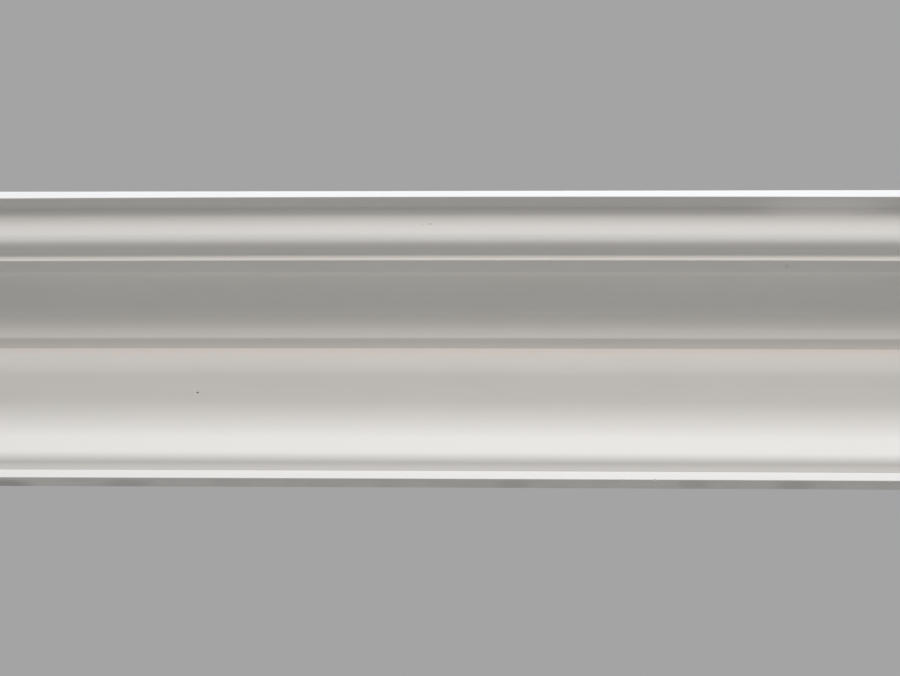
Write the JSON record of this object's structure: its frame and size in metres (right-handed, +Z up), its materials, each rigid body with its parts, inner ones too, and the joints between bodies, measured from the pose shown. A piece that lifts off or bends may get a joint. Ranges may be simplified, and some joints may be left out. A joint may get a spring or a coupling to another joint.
{
  "type": "crown moulding length",
  "caption": "Length of plain white crown moulding with fillets, crown, cove and ogee, made to bed in the corner between a wall and a ceiling.",
  "frame": {"origin": "middle of the flat that beds on the wall, halfway along the length", "axes": "+X runs along the wall, +Y points into the wall and -Y into the room, +Z is up to the ceiling"},
  "size_m": [0.45, 0.0987, 0.0991],
  "materials": {
    "white_plaster": "matt white casting plaster, smooth on the face, ruled off on the back and sawn at the ends"
  },
  "bodies": {
    "root": {"crown_moulding": "white_plaster"}
  },
  "joints": []
}
